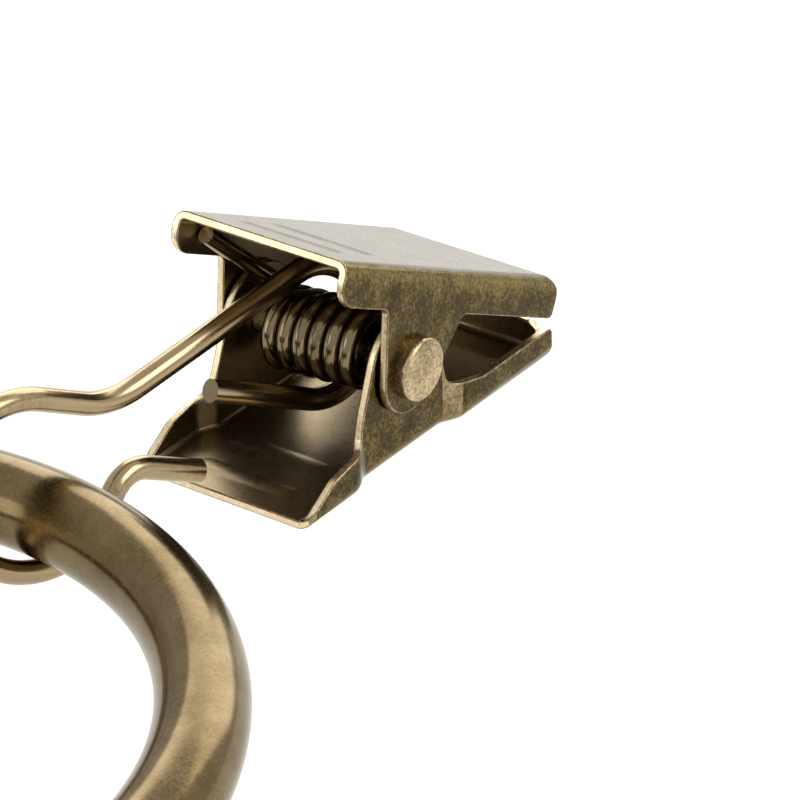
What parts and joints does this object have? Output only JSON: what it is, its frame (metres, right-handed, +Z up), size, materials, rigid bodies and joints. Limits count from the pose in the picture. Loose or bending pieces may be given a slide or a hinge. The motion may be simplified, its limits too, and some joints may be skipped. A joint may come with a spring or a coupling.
{
  "type": "curtain ring with clip",
  "caption": "Round metal curtain ring holding a bent-wire hanger with a spring clip that squeezes open and grips a curtain's top edge.",
  "frame": {"origin": "on the table under the middle of the whole length, level with the ring's centre sideways", "axes": "+X from the ring to the clip's nose, +Y along the rivet, +Z up from the table the part lies on"},
  "size_m": [0.076, 0.0468, 0.013],
  "materials": {
    "ring": "glossy antique bronze plating",
    "wire": "glossy antique bronze plating",
    "sheet": "satin antique bronze plating with worn edges",
    "rivet": "satin antique bronze plating",
    "spring": "dark plated spring wire"
  },
  "bodies": {
    "ring": {"curtain_ring": "ring"},
    "hanger": {"hanger_hook": "wire"},
    "lower_jaw": {"lower_jaw": "sheet", "torsion_spring": "spring"},
    "upper_jaw": {"upper_jaw": "sheet", "rivet": "rivet"}
  },
  "joints": [
    {"name": "hanger_swing", "type": "hinge", "parent": "ring", "child": "hanger", "pos_m": [0.00648, 0, 0.00375], "axis": [0, 1, 0], "range_deg": [-120, 120]},
    {"name": "clip_swing", "type": "hinge", "parent": "hanger", "child": "lower_jaw", "pos_m": [0.02563, -0.00335, 0.00503], "axis": [0, -1, 0], "range_deg": [-1, 10]},
    {"name": "jaw_squeeze", "type": "hinge", "parent": "lower_jaw", "child": "upper_jaw", "pos_m": [0.02563, -0.00335, 0.00503], "axis": [0, -1, 0], "range_deg": [0, 24], "stiffness_Nm_per_rad": 0.02, "springref_deg": -1.15, "deforming": ["torsion_spring"]}
  ]
}
